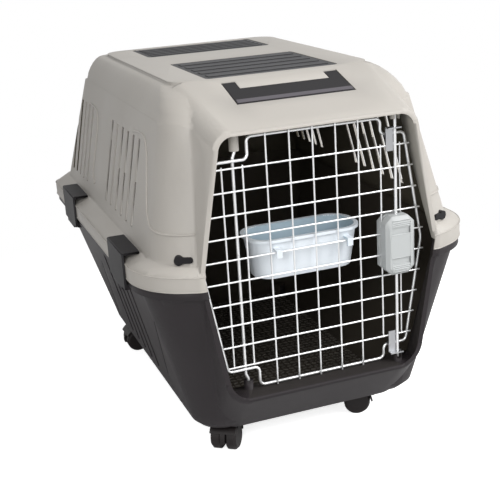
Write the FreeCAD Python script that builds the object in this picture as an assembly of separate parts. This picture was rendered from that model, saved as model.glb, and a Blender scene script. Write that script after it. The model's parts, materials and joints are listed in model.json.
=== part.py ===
"""Large two-part pet carrier on castors, in millimetres.

The door faces -Y, +X is to the right of someone facing the door, +Z is up.
The origin is on the floor, under the middle of the carrier.
"""
import FreeCAD
import Part
import math
import os

V = FreeCAD.Vector

# Overall sizes
belt_width = 600.0
belt_front = 364.0
belt_rear = 432.0
ground_gap = 54.0
lower_height = 306.0
upper_height = 281.0
wall = 4.0
cut_over = 30.0
rim_over = 1.0
run_gap = 0.4
pin_gap = 0.06

# Belt where the two shells meet
belt_overhang = 28.0
belt_end_overhang = 11.0
belt_corner_radius = 112.0
belt_face_height = 24.0
belt_slope_height = 14.0
skirt_drop = 17.0
skirt_wall = 5.5
skirt_gap = 0.5
band_height = 14.0
band_overhang = 25.0
band_step = 14.0
corner_radius = 92.0
corner_slant = 23.0
panel_blend_radius = 18.0
corner_fill_share = 0.95
rear_corner_share = 0.35

# Upper shell
ledge_drop = 52.0
ledge_width = 446.0
ledge_length_front = 294.0
ledge_length_rear = 351.0
ledge_front_width = 342.0
ledge_corner_radius = 70.0
ledge_step = 4.0
ledge_bevel = 2.0
shoulder_ease_share = 0.7
shoulder_width = 33.0
shoulder_front = 112.0
shoulder_rear = 30.0
shoulder_rings = 6
roof_half_front = 152.0
roof_corner_radius = 36.0
panel_width = 362.0
panel_rear = 302.0
panel_corner_radius = 36.0
panel_rise = 5.0

# Lower shell
lower_end_out = 2.0
floor_half = 206.0
floor_front = 297.0
floor_rear = 302.0
floor_front_half = 166.0
floor_corner_radius = 52.0
foot_corner_radius = 30.0
foot_round = 34.0
foot_rings = 4
side_groove_width = 6.0
side_groove_depth = 2.2
front_groove_top_y = -262.0
front_groove_top_z = 268.0
front_groove_foot_y = -161.0
front_groove_foot_z = 121.0
rear_groove_top_y = 174.0
rear_groove_top_z = 240.0
rear_groove_foot_y = 246.0
rear_groove_foot_z = 96.0

# Door opening and the hood that frames it
rim_front = 359.0
opening_half_seam = 203.5
opening_half_top = 163.0
opening_half_foot = 166.0
opening_top = 222.0
opening_foot = 215.0
opening_top_radius = 24.0
opening_foot_radius = 40.0
lip = 8.0
hood_wall = 6.0
visor_back = 190.0
hood_draft = 20.0
sill_back = 285.0
sill_draft = 20.0
sill_front_half = 168.0
shelf_back = 312.0
shelf_wall = 4.0

# Door of welded wire
door_y = -333.0
door_drop = 3.0
wire_pitch_x = 40.0
wire_pitch_z = 37.2
wire_columns = 9
wire_rows = 10
edge_column_half = 155.2
mesh_radius = 1.5
frame_radius = 2.5
frame_half_seam = 196.0
frame_half_jog = 165.0
frame_top = 213.0
frame_foot = 211.0
jog_level = 186.0
jog_half = 122.0
hinge_jog_level = 177.0
hinge_jog_half = 110.0
jog_radius = 9.0
side_radius = 40.0
wire_overshoot = 3.0
hinge_x = -129.0
hinge_rod_x = -133.0
hinge_crank = 12.0
hinge_crank_radius = 5.0
rod_radius = 2.6
hinge_boss_radius = 8.0
hinge_free_top = 192.0
hinge_free_foot = 200.0
hinge_socket = 12.0

# Latch
latch_x = 143.0
latch_width = 54.0
latch_height = 102.0
latch_front_depth = 22.0
latch_back_depth = 8.0
latch_bevel = 12.0
latch_face_bevel = 6.0
latch_wall = 2.5
latch_travel = 10.0
window_width = 34.0
window_spare = 1.0
window_margin = 7.0
grip_height = 12.0
grip_skirt_wall = 2.0
grip_ribs = 3
grip_rib_rise = 1.2
rod_free_top = 212.0
rod_free_foot = 202.0
keeper_radius = 8.0
keeper_bite = 6.0
keeper_slot = 8.0
guide_width = 13.0
guide_inner_level = 159.0
guide_outer_level = 197.0
guide_wall = 2.0
guide_eye_depth = 11.0
guide_eye_width = 8.0
spring_radius = 5.0
spring_wire = 0.6
spring_turns = 6
screw_radius = 1.8
screw_head_radius = 3.2
screw_head_height = 1.6
screw_inset = 9.0

# Feeding bowl
bowl_x = -8.0
bowl_width = 192.0
bowl_depth = 88.0
bowl_height = 70.0
bowl_foot_taper = 9.0
bowl_corner_radius = 34.0
bowl_wall = 2.5
bowl_floor = 3.0
bowl_lip = 4.0
bowl_lip_height = 5.0
bowl_row = 4
bowl_rise = 19.0
hook_middle = -5.0
hook_half = 63.0
hook_width = 10.0
hook_wall = 3.0
hook_drop = 9.0

# Roof handle
handle_width = 206.0
handle_length = 79.0
handle_thick = 9.0
handle_notch_width = 160.0
handle_notch = 27.0
handle_back = 206.0
handle_pin_radius = 2.5
handle_pin_bite = 7.0
handle_gap = 1.2
handle_bed = 2.0
handle_front_round = 3.5

# Roof inserts
insert_front_width = 240.0
insert_rear_width = 252.0
insert_front_from = 182.0
insert_front_to = 32.0
insert_rear_from = 152.0
insert_rear_to = 282.0
insert_depth = 3.5
insert_bed = 0.5
insert_corner_radius = 9.0
insert_gap = 0.6
insert_ribs = 5
insert_rib_rise = 1.2
insert_margin = 10.0

# Vents in the upper side walls
vent_count_front = 6
vent_count_rear = 5
vent_pitch_front = 38.0
vent_pitch_rear = 33.0
vent_width = 12.0
vent_height = 147.0
vent_foot = 41.0
vent_lean_share = 0.07
vent_front_y = -150.0
vent_rear_y = 206.0

# Side clips
clip_length = 104.0
clip_front_y = -188.0
clip_rear_y = 210.0
clip_right_shift = 64.0
clip_wall = 4.0
clip_hook_depth = 26.0
clip_pin_radius = 2.5
clip_barrel_radius = 5.5
clip_barrel_share = 0.6
clip_pin_inset = 5.0
clip_pin_drop = 20.0
clip_lug_wall = 8.0

# Corner plugs
plug_share = 0.34
plug_rise = 9.0
plug_big_radius = 7.5
plug_small_radius = 4.5
plug_span = 18.0
plug_proud = 2.5
plug_gap = 0.3

# Castors
castor_front_x = 138.0
castor_rear_x = 160.0
castor_front_y = -232.0
castor_rear_y = 255.0
wheel_radius = 24.0
wheel_width = 18.5
wheel_edge = 4.0
web_wall = 9.0
castor_trail = 24.0
axle_radius = 3.0
fender_gap = 2.0
fender_wall = 2.5
fender_start = 30.0
fender_turn = 150.0
stem_radius = 5.0
stem_height = 26.0
stem_wall = 7.0
collar_radius = 10.0
collar_height = 6.5
castor_headings = {"front_left": -126.0, "front_right": 162.0, "rear_left": 180.0, "rear_right": 90.0}

seam_z = ground_gap + lower_height
roof_z = seam_z + upper_height
ledge_z = roof_z - ledge_drop
door_z = seam_z - door_drop
wall_half = belt_width / 2 - belt_overhang
wall_front = belt_front - belt_end_overhang
wall_rear = belt_rear - belt_end_overhang
lower_wall_half = wall_half + band_overhang - band_step
lower_wall_front = wall_front + lower_end_out
lower_wall_rear = wall_rear + lower_end_out
middle_y = (belt_rear - belt_front) / 2
shoulder_rise = ledge_drop - panel_rise
window_height = grip_height + latch_travel + window_spare
belt_foot_z = seam_z - skirt_drop
belt_mid_z = belt_foot_z + belt_face_height
belt_top_z = belt_mid_z + belt_slope_height
slant = math.radians(corner_slant)
slant_share = math.tan(slant)


def rounded_wire(corners, radii, closed=True):
    """Flat wire through the corners, each rounded by its own radius; an open one keeps its two ends."""
    count = len(corners)
    starts, ends, edges = [], [], []
    for i in range(count):
        here = corners[i]
        if not closed and i in (0, count - 1):
            starts.append(here)
            ends.append(here)
            continue
        back = corners[i - 1] - here
        ahead = corners[(i + 1) % count] - here
        back.normalize()
        ahead.normalize()
        half = back.getAngle(ahead) / 2
        reach = radii[i] / math.tan(half)
        middle = back + ahead
        middle.normalize()
        top = here + middle * (radii[i] / math.sin(half) - radii[i])
        starts.append(here + back * reach)
        ends.append(here + ahead * reach)
        edges.append(Part.Arc(starts[i], top, ends[i]).toShape())
    for i in range(count if closed else count - 1):
        edges.append(Part.LineSegment(ends[i], starts[(i + 1) % count]).toShape())
    return Part.Wire(Part.__sortEdges__(edges))


def bent_wire(corners, radii, radius, closed=True):
    """Round wire that follows a rounded path."""
    path = rounded_wire(corners, radii, closed)
    first = path.OrderedEdges[0]
    start = path.OrderedVertexes[0].Point
    heading = first.tangentAt(first.FirstParameter)
    ring = Part.Wire([Part.makeCircle(radius, start, heading)])
    return Part.Solid(path.makePipeShell([ring], True, True))


def sharp_wire(points):
    """Closed flat wire through the points."""
    return Part.makePolygon(points + [points[0]])


def prism(wire, along):
    """Solid made by moving a flat closed wire."""
    return Part.Face(wire).extrude(along)


def loft(wires):
    """Solid through flat wires, straight between each pair."""
    return Part.makeLoft(wires, True, True)


def bar(start, end, radius):
    """Round bar between two points."""
    return Part.makeCylinder(radius, (end - start).Length, start, end - start)


def box(low, high):
    """Box between two corners."""
    size = high - low
    return Part.makeBox(size.x, size.y, size.z, low)


def joined(shapes):
    """One shape from overlapping or touching shapes."""
    whole = shapes[0]
    for shape in shapes[1:]:
        whole = whole.fuse(shape)
    return whole.removeSplitter()


def mirrored(shape):
    """The shape on the other side of the carrier."""
    return shape.mirror(V(0, 0, 0), V(1, 0, 0))


def plan_ring(z, half, front_half, front, rear, radius, inset=0.0):
    """Outline of the body at one height, with slanted and rounded corners."""
    side = half - inset
    nose = front_half - inset / 2
    front_y = -(front - inset)
    rear_y = rear - inset
    turn = (side - nose) * slant_share
    corners = [
        V(-nose, front_y, z), V(nose, front_y, z),
        V(side, front_y + turn, z), V(side, rear_y - turn, z),
        V(nose, rear_y, z), V(-nose, rear_y, z),
        V(-side, rear_y - turn, z), V(-side, front_y + turn, z),
    ]
    room = (side - nose) / math.cos(slant) - panel_blend_radius * math.tan(slant / 2)
    round_most = corner_fill_share * room / math.tan(math.pi / 4 - slant / 2)
    round_in = min(radius - inset, round_most)
    blend = panel_blend_radius
    round_rear = round_in * rear_corner_share
    radii = [blend, blend, round_in, round_rear, blend, blend, round_rear, round_in]
    return rounded_wire(corners, radii)


def belt_ring(z, out):
    """Outline at the belt, standing out from the wall by a set amount."""
    share = out / belt_overhang
    end = belt_end_overhang * share
    radius = corner_radius + (belt_corner_radius - corner_radius) * share
    return plan_ring(z, wall_half + out, opening_half_seam + lip, wall_front + end, wall_rear + end, radius)


def opening_points(y, half_seam, half_end, end_z, seam):
    """Corners of half of the door opening, above or below the seam."""
    return [V(-half_seam, y, seam), V(half_seam, y, seam),
            V(half_end, y, end_z), V(-half_end, y, end_z)]


def half_opening(y, grow, top, shift=0.0):
    """One half of the opening's outline, grown by a lip and pushed out by shift."""
    if top:
        end_z = door_z + opening_top + grow
        half_end = opening_half_top + grow
        radius = opening_top_radius + grow
    else:
        end_z = door_z - opening_foot - grow
        half_end = opening_half_foot + grow
        radius = opening_foot_radius + grow
    points = opening_points(y, opening_half_seam + grow + shift, half_end + shift, end_z, seam_z)
    return points, radius


def corner_wire(points, radius):
    """Wire with its last two corners rounded and its seam corners barely eased."""
    return rounded_wire(points, [skirt_gap, skirt_gap, radius, radius])


def hood_upper(grow, front, rise):
    """Solid that frames the upper half of the door and slopes up to the roof."""
    points, radius = half_opening(-front, grow, True)
    back, back_radius = half_opening(-visor_back, grow, True, hood_draft)
    for corner in back[2:]:
        corner.z = roof_z - rise
    return loft([corner_wire(points, radius), corner_wire(back, back_radius)])


def hood_lower(grow, front, rise):
    """Solid that frames the lower half of the door and slopes down to the floor."""
    points, radius = half_opening(-front, grow, False)
    back, back_radius = half_opening(-sill_back, grow, False, sill_draft)
    for corner in back[2:]:
        corner.z = ground_gap + rise
        corner.x = math.copysign(sill_front_half + grow, corner.x)
    return loft([corner_wire(points, radius), corner_wire(back, back_radius)])


def wall_ring(z, inset):
    """Outline of the upper wall at its foot, moved to any height."""
    return plan_ring(z, wall_half, opening_half_seam + lip, wall_front, wall_rear, corner_radius, inset)


def upper_body(inset):
    """Closed outer or inner form of the upper shell, up to the shoulder's top."""
    half = ledge_width / 2
    nose = ledge_front_width / 2
    level = ledge_z - inset
    ledge = plan_ring(level, half, nose, ledge_length_front, ledge_length_rear, ledge_corner_radius, inset)
    shoulder = []
    foot_nose = nose - ledge_step
    foot_radius = ledge_corner_radius - ledge_step
    for i in range(shoulder_rings + 1):
        angle = math.pi / 2 * i / shoulder_rings
        part_in = (1 - math.cos(angle)) ** shoulder_ease_share
        part_up = math.sin(angle)
        shoulder.append(plan_ring(
            level + ledge_bevel + (shoulder_rise - ledge_bevel) * part_up,
            half - ledge_step - shoulder_width * part_in,
            foot_nose - (foot_nose - roof_half_front) * part_in,
            ledge_length_front - ledge_step - shoulder_front * part_in,
            ledge_length_rear - ledge_step - shoulder_rear * part_in,
            foot_radius - (foot_radius - roof_corner_radius) * part_in, inset))
    rings = [wall_ring(seam_z, inset), ledge] + shoulder
    solids = [loft(rings[i:i + 2]) for i in range(len(rings) - 1)]
    if inset:
        solids.append(prism(wall_ring(seam_z - cut_over, inset), V(0, 0, cut_over)))
    return joined(solids)


def roof_panel():
    """Raised panel of the roof, inside the shoulder."""
    half = panel_width / 2
    low = ledge_z + shoulder_rise - wall
    corners = [V(-half, -visor_back, low), V(half, -visor_back, low),
               V(half, panel_rear, low), V(-half, panel_rear, low)]
    return prism(rounded_wire(corners, [panel_corner_radius] * 4), V(0, 0, roof_z - low))


def belt_upper():
    """Ring of the upper shell: a face, a slope and a skirt round the lower shell's rim."""
    face = loft([belt_ring(belt_foot_z, belt_overhang), belt_ring(belt_mid_z, belt_overhang)])
    slope = loft([belt_ring(belt_mid_z, belt_overhang), belt_ring(belt_top_z, 0)])
    ring = face.fuse(slope)
    skirt_in = belt_overhang - skirt_wall
    rebate = loft([belt_ring(belt_foot_z - cut_over, skirt_in), belt_ring(seam_z, skirt_in)])
    return ring.cut(rebate).cut(opening_cut(False))


def opening_cut(top):
    """Straight cut through the front, as wide as half of the door opening."""
    points, radius = half_opening(-(rim_front + cut_over), 0, top)
    wire = corner_wire(points, radius)
    return prism(wire, V(0, cut_over + rim_front - shelf_back, 0))


def visor_point(down, up):
    """A point of the visor: a distance down its slope from the roof, and off its face."""
    drop = roof_z - (door_z + opening_top + lip)
    run = rim_front - visor_back
    angle = math.atan2(drop, run)
    along = V(0, -math.cos(angle), -math.sin(angle))
    off = V(0, -math.sin(angle), math.cos(angle))
    return V(0, -visor_back, roof_z) + along * down + off * up


def tilted(shape):
    """Turns a shape drawn flat, with its back edge on the origin, to lie on the visor."""
    drop = roof_z - (door_z + opening_top + lip)
    run = rim_front - visor_back
    placed = shape.copy()
    placed.rotate(V(0, 0, 0), V(1, 0, 0), math.degrees(math.atan2(drop, run)))
    placed.translate(visor_point(handle_back - visor_back, 0))
    return placed


def handle_outline(grow):
    """U-shaped outline of the handle, flat, with its hinge side at the back."""
    half = handle_width / 2 + grow
    notch = handle_notch_width / 2 - grow
    front = -(handle_length + grow)
    step = -(handle_notch - grow)
    return sharp_wire([V(-half, grow, 0), V(-half, front, 0), V(half, front, 0), V(half, grow, 0),
                       V(notch, grow, 0), V(notch, step, 0), V(-notch, step, 0), V(-notch, grow, 0)])


def handle_bed_cut():
    """Pocket in the visor that the folded handle lies in."""
    deep = handle_thick + handle_bed
    pocket = prism(handle_outline(handle_gap), V(0, 0, deep + cut_over))
    pocket.translate(V(0, 0, -deep))
    return tilted(pocket)


def handle_bed_block():
    """Thicker wall under the handle's pocket."""
    half = handle_width / 2 + handle_gap + handle_pin_bite + wall
    deep = handle_thick + handle_bed + wall
    return tilted(box(V(-half, -(handle_length + handle_gap + wall), -deep),
                      V(half, handle_gap + wall, -handle_front_round)))


def insert_spans():
    """Half width, front end and rear end of each roof insert."""
    return {"front": (insert_front_width / 2, -insert_front_from, insert_front_to),
            "rear": (insert_rear_width / 2, insert_rear_from, insert_rear_to)}


def insert_wire(name, grow, z):
    """Rounded outline of a roof insert."""
    half, low, high = insert_spans()[name]
    half += grow
    low -= grow
    high += grow
    corners = [V(-half, low, z), V(half, low, z), V(half, high, z), V(-half, high, z)]
    return rounded_wire(corners, [insert_corner_radius + grow] * 4)


def side_wall_x(z):
    """Half width of the upper side wall at a height."""
    share = (z - seam_z) / (ledge_z - seam_z)
    return wall_half + (ledge_width / 2 - wall_half) * share


def vent_cuts():
    """Slots through both upper side walls, in two groups that lean with the front corner."""
    foot_z = seam_z + vent_foot
    reach = wall_half - side_wall_x(foot_z + vent_height) + cut_over
    cuts = []
    groups = ((vent_front_y, vent_count_front, vent_pitch_front),
              (vent_rear_y, vent_count_rear, vent_pitch_rear))
    for first, count, pitch in groups:
        for i in range(count):
            y = first + pitch * i
            lean = vent_height * vent_lean_share
            low, high = V(0, y, foot_z), V(0, y + lean, foot_z + vent_height)
            half = V(0, vent_width / 2, 0)
            slot = sharp_wire([low - half, low + half, high + half, high - half])
            right = prism(slot, V(reach, 0, 0))
            right.translate(V(side_wall_x(foot_z + vent_height) - cut_over / 2, 0, 0))
            cuts += [right, mirrored(right)]
    return cuts


def plug_frame():
    """Middle, direction along the panel and outward direction of the right corner plug."""
    nose = opening_half_seam + lip
    span = wall_half - nose
    z = belt_top_z + plug_rise
    share = (z - seam_z) / (ledge_z - seam_z)
    shift_x = (ledge_front_width / 2 - nose) * share
    shift_y = (wall_front - ledge_length_front) * share
    across = span * plug_share
    middle = V(nose + shift_x + across, -wall_front + shift_y + across * slant_share, z)
    return middle, V(math.cos(slant), math.sin(slant), 0), V(math.sin(slant), -math.cos(slant), 0)


def plug_solid(grow, inner, outer):
    """Keyhole-shaped plug across the right front corner panel."""
    middle, along, out = plug_frame()
    big = middle + along * (plug_span / 2)
    small = middle - along * (plug_span / 2)
    big_end = Part.makeCylinder(plug_big_radius + grow, inner + outer, big - out * inner, out)
    small_end = Part.makeCylinder(plug_small_radius + grow, inner + outer, small - out * inner, out)
    up = V(0, 0, plug_small_radius + grow)
    neck = prism(sharp_wire([big - up, big + up, small + up, small - up]), out * (inner + outer))
    neck.translate(out * -inner)
    return joined([big_end, small_end, neck])


def hinge_axis_y():
    """The hinge rod runs behind the door's frame wire."""
    return door_y + 2 * mesh_radius + 2 * frame_radius + rod_radius


def latch_rod_y():
    """The latch rods run in front of the door's wires."""
    return door_y - 2 * mesh_radius - rod_radius - run_gap


def top_boss(x, y, foot, radius):
    """Post that hangs from the visor down to a height."""
    return Part.makeCylinder(radius, roof_z - foot, V(x, y, foot), V(0, 0, 1))


def keeper_slot_cut(z, height, away):
    """Slot that a latch rod's tip swings out of, open to the front."""
    half = rod_radius + run_gap + mesh_radius / 2
    y = latch_rod_y()
    hole = Part.makeCylinder(half, height, V(latch_x, y, z), V(0, 0, away))
    low, high = sorted([z, z + away * height])
    return hole.fuse(box(V(latch_x - half, y - keeper_radius - cut_over, low), V(latch_x + half, y, high)))


def make_upper_shell():
    """Upper shell with its hood, roof panel, belt, vents and door bosses."""
    outside = joined([upper_body(0), hood_upper(lip, rim_front, 0), roof_panel()])
    inside = joined([upper_body(wall), hood_upper(0, rim_front + rim_over, hood_wall)])
    hinge_boss_foot = door_z + hinge_free_top
    keeper_foot = door_z + rod_free_top
    posts = top_boss(hinge_x, hinge_axis_y(), hinge_boss_foot, hinge_boss_radius)
    posts = posts.fuse(top_boss(latch_x, latch_rod_y(), keeper_foot, keeper_radius))
    posts = posts.fuse(handle_bed_block()).common(outside)
    shell = outside.fuse(belt_upper()).cut(inside).fuse(posts)
    shell = shell.cut(opening_cut(True).cut(posts))
    for name in insert_spans():
        shell = shell.cut(prism(insert_wire(name, insert_gap, roof_z - insert_depth - insert_bed),
                                V(0, 0, cut_over)))
    shell = shell.cut(handle_bed_cut())
    for side in (1, -1):
        start = V(side * (handle_width / 2 - handle_pin_bite), 0, 0)
        end = V(side * (handle_width / 2 + handle_gap + handle_pin_bite), 0, 0)
        lift = V(0, -handle_thick / 2, -handle_thick / 2)
        shell = shell.cut(tilted(bar(start + lift, end + lift, handle_pin_radius)))
    shell = shell.cut(vent_cuts())
    plug = plug_solid(plug_gap, cut_over, cut_over)
    shell = shell.cut([plug, mirrored(plug)])
    socket_end = hinge_boss_foot + hinge_socket + run_gap
    shell = shell.cut(bar(V(hinge_x, hinge_axis_y(), hinge_boss_foot - wall),
                          V(hinge_x, hinge_axis_y(), socket_end), rod_radius + pin_gap))
    return shell.cut(keeper_slot_cut(keeper_foot - wall, keeper_slot + wall, 1)).removeSplitter()


def lower_body(inset):
    """Closed outer or inner form of the lower shell."""
    nose_top = opening_half_seam + lip
    rim_half = belt_width / 2 - skirt_wall - skirt_gap
    floor = ground_gap + inset
    band_foot = belt_foot_z - band_height
    top = seam_z if inset == 0 else seam_z + cut_over
    share = foot_round / (band_foot - floor)
    half = floor_half + (lower_wall_half - floor_half) * share
    nose = floor_front_half + (nose_top - floor_front_half) * share
    front = floor_front + (lower_wall_front - floor_front) * share
    rear = floor_rear + (lower_wall_rear - floor_rear) * share
    knee = plan_ring(band_foot, lower_wall_half, nose_top, lower_wall_front, lower_wall_rear,
                     corner_radius, inset)
    rim = plan_ring(top, rim_half, nose_top, wall_front, wall_rear, corner_radius, inset)
    rings = []
    for i in range(foot_rings):
        angle = math.pi / 2 * i / (foot_rings - 1)
        part_in = 1 - math.sin(angle)
        drawn = foot_round * part_in
        radius = floor_corner_radius + (foot_corner_radius - floor_corner_radius) * part_in
        rings.append(plan_ring(floor + foot_round * (1 - math.cos(angle)), half - drawn, nose - drawn / 2,
                               front - drawn, rear - drawn, radius, inset))
    solids = [loft(rings[i:i + 2]) for i in range(foot_rings - 1)]
    return joined(solids + [loft([rings[-1], knee]), loft([knee, rim])])


def band_lower():
    """Band round the lower shell that the upper shell's skirt stands on."""
    return loft([belt_ring(belt_foot_z - band_height, band_overhang), belt_ring(belt_foot_z, band_overhang)])


def castor_spots():
    """Where each castor's stem stands."""
    return {"front_left": V(-castor_front_x, castor_front_y, 0),
            "front_right": V(castor_front_x, castor_front_y, 0),
            "rear_left": V(-castor_rear_x, castor_rear_y, 0),
            "rear_right": V(castor_rear_x, castor_rear_y, 0)}


def clip_places():
    """Side and place along the carrier of each side clip."""
    return {"front_left": (-1, clip_front_y), "front_right": (1, clip_front_y + clip_right_shift),
            "rear_left": (-1, clip_rear_y), "rear_right": (1, clip_rear_y + clip_right_shift)}


def clip_pin_point(side, y):
    """Point on a side clip's pin."""
    return V(side * (belt_width / 2 - clip_pin_inset), y, belt_foot_z - clip_pin_drop)


def clip_lugs(side, y):
    """Two ears of the lower shell that hold a clip's pin."""
    ears = []
    half = clip_length * clip_barrel_share / 2 + run_gap
    for low in (y - half - clip_lug_wall, y + half):
        pin = clip_pin_point(side, low)
        ear = Part.makeCylinder(clip_barrel_radius, clip_lug_wall, pin, V(0, 1, 0))
        root = V(side * (lower_wall_half - 2 * wall), low, pin.z - clip_barrel_radius)
        tip = V(pin.x, low + clip_lug_wall, pin.z + clip_barrel_radius)
        low_corner = V(min(root.x, tip.x), root.y, root.z)
        high_corner = V(max(root.x, tip.x), tip.y, tip.z)
        ears.append(ear.fuse(box(low_corner, high_corner)))
    return ears


def side_groove_cuts():
    """Long grooves in both lower side walls, leaning back towards the floor."""
    cuts = []
    half = V(0, side_groove_width / 2, 0)
    core = lower_body(side_groove_depth)
    start = floor_half - cut_over
    reach = lower_wall_half + cut_over - start
    front = (V(start, front_groove_top_y, front_groove_top_z),
             V(start, front_groove_foot_y, front_groove_foot_z))
    rear = (V(start, rear_groove_top_y, rear_groove_top_z),
            V(start, rear_groove_foot_y, rear_groove_foot_z))
    for high, low in (front, rear):
        groove = prism(sharp_wire([low - half, low + half, high + half, high - half]), V(reach, 0, 0))
        groove = groove.cut(core)
        cuts += [groove, mirrored(groove)]
    return cuts


def make_lower_shell():
    """Lower shell with its sill, floor, band, clip ears, castor posts and door bosses."""
    outside = joined([lower_body(0), hood_lower(lip, rim_front, 0)])
    inside = joined([lower_body(wall), hood_lower(0, rim_front + rim_over, hood_wall)])
    shelf_top = door_z - opening_foot
    shelf_foot = shelf_top - shelf_wall
    hinge_boss_top = door_z - hinge_free_foot
    keeper_top = door_z - rod_free_foot
    posts = box(V(-opening_half_seam, -rim_front, shelf_foot), V(opening_half_seam, -shelf_back, shelf_top))
    for x, y, top, radius in ((hinge_x, hinge_axis_y(), hinge_boss_top, hinge_boss_radius),
                              (latch_x, latch_rod_y(), keeper_top, keeper_radius)):
        posts = posts.fuse(Part.makeCylinder(radius, top - shelf_foot, V(x, y, shelf_foot)))
    for spot in castor_spots().values():
        base = spot + V(0, 0, ground_gap)
        posts = posts.fuse(Part.makeCylinder(stem_radius + stem_wall, stem_height + wall, base))
    posts = posts.common(outside)
    lugs = [ear for side, y in clip_places().values() for ear in clip_lugs(side, y)]
    shell = outside.fuse([band_lower()] + lugs).cut(inside).fuse(posts)
    shell = shell.cut(opening_cut(False).cut(posts)).cut(side_groove_cuts())
    for side, y in clip_places().values():
        reach = V(0, clip_length / 2, 0)
        pin = clip_pin_point(side, y)
        shell = shell.cut(bar(pin - reach, pin + reach, clip_pin_radius))
    for spot in castor_spots().values():
        foot = spot + V(0, 0, ground_gap - wall)
        shell = shell.cut(bar(foot, foot + V(0, 0, wall + stem_height), stem_radius + pin_gap))
    socket_end = hinge_boss_top - hinge_socket - run_gap
    shell = shell.cut(bar(V(hinge_x, hinge_axis_y(), socket_end),
                          V(hinge_x, hinge_axis_y(), hinge_boss_top + wall), rod_radius + pin_gap))
    return shell.cut(keeper_slot_cut(keeper_top + wall, keeper_slot + wall, -1)).removeSplitter()


parts = {}


def build_shells():
    """The two shells and the corner plugs."""
    parts["upper_shell"] = make_upper_shell()
    parts["lower_shell"] = make_lower_shell()
    plug = plug_solid(0, wall + plug_proud, plug_proud)
    parts["corner_plug_right"] = plug
    parts["corner_plug_left"] = mirrored(plug)


def build_roof():
    """Ribbed roof inserts and the folding handle with its pins."""
    for name, (half, low, high) in insert_spans().items():
        base_z = roof_z - insert_depth - insert_bed
        plate = prism(insert_wire(name, 0, base_z), V(0, 0, insert_depth))
        pitch = (high - low - 2 * insert_margin) / insert_ribs
        reach = half - insert_margin
        ribs = []
        for i in range(insert_ribs):
            y = low + insert_margin + pitch * i
            ribs.append(box(V(-reach, y + pitch / 4, base_z + insert_depth / 2),
                            V(reach, y + 3 * pitch / 4, base_z + insert_depth + insert_rib_rise)))
        parts["roof_insert_" + name] = joined([plate] + ribs)
    plate = prism(handle_outline(0), V(0, 0, -handle_thick))
    plate = plate.makeFillet(handle_front_round, front_edges(plate))
    plate = plate.makeFillet(handle_thick / 2 - run_gap, back_edges(plate))
    pins = []
    for side in (1, -1):
        lift = V(0, -handle_thick / 2, -handle_thick / 2)
        start = V(side * (handle_width / 2 - handle_pin_bite), 0, 0) + lift
        end = V(side * (handle_width / 2 + handle_gap + handle_pin_bite), 0, 0) + lift
        plate = plate.cut(bar(start, end, handle_pin_radius + pin_gap))
        pins.append(tilted(bar(start, end, handle_pin_radius)))
    parts["carry_handle"] = tilted(plate)
    parts["handle_pins"] = Part.makeCompound(pins)


def front_edges(plate):
    """Long edges along the handle's grip side."""
    return [edge for edge in plate.Edges
            if abs(edge.CenterOfMass.y + handle_length) < run_gap and edge.Length > handle_notch_width]


def back_edges(plate):
    """Long edges along the handle's hinge side."""
    found = []
    for edge in plate.Edges:
        ends = [v.Point for v in edge.Vertexes]
        level = abs(ends[0].z - ends[-1].z) < run_gap
        if level and len(ends) == 2 and max(abs(point.y) for point in ends) < run_gap:
            found.append(edge)
    return found


def door_point(x, y, rise):
    """A point of the door, measured from its middle."""
    return V(x, y, door_z + rise)


def door_half(jog, level):
    """Corners of one half of the door's frame, from its top to its foot."""
    return [(jog, frame_top), (jog, level), (frame_half_jog, level), (frame_half_seam, 0),
            (frame_half_jog, -level), (jog, -level), (jog, -frame_foot)]


def build_door_wires():
    """Frame wire, mesh wires and hinge rod of the door."""
    frame_y = door_y + 2 * mesh_radius + frame_radius
    latch_half = door_half(jog_half, jog_level)
    hinge_half = door_half(hinge_jog_half, hinge_jog_level)
    around = latch_half + [(-x, rise) for x, rise in reversed(hinge_half)]
    corners = [door_point(x, frame_y, rise) for x, rise in around]
    radii = [jog_radius] * 3 + [side_radius] + [jog_radius] * 6 + [side_radius] + [jog_radius] * 3
    parts["door_frame_wire"] = bent_wire(corners, radii, frame_radius)
    rows = []
    row_y = door_y - mesh_radius
    middle = (wire_rows - 1) / 2
    for i in range(wire_rows):
        rise = (i - middle) * wire_pitch_z
        taper = (frame_half_seam - frame_half_jog) * abs(rise)
        left = frame_half_seam - taper / hinge_jog_level
        right = frame_half_seam - taper / jog_level + wire_overshoot
        rows.append(bar(door_point(-left, row_y, rise), door_point(right, row_y, rise), mesh_radius))
    parts["door_cross_wires"] = Part.makeCompound(rows)
    columns = []
    column_y = door_y + mesh_radius
    last_row = middle * wire_pitch_z + wire_overshoot
    for i in range(wire_columns):
        x = (i - (wire_columns - 1) / 2) * wire_pitch_x
        outer = abs(x) > jog_half - 2 * frame_radius
        if i in (0, wire_columns - 1):
            x = math.copysign(edge_column_half, x)
        top = last_row if outer else frame_top + wire_overshoot
        foot = last_row if outer else frame_foot + wire_overshoot
        columns.append(bar(door_point(x, column_y, -foot), door_point(x, column_y, top), mesh_radius))
    parts["door_upright_wires"] = Part.makeCompound(columns)
    foot, top = -hinge_free_foot, hinge_free_top
    bends = [(hinge_x, foot - hinge_socket), (hinge_x, foot + rod_radius), (hinge_rod_x, foot + hinge_crank),
             (hinge_rod_x, top - hinge_crank), (hinge_x, top - rod_radius), (hinge_x, top + hinge_socket)]
    line = [door_point(x, hinge_axis_y(), rise) for x, rise in bends]
    parts["hinge_rod"] = bent_wire(line, [hinge_crank_radius] * len(line), rod_radius, False)


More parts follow.
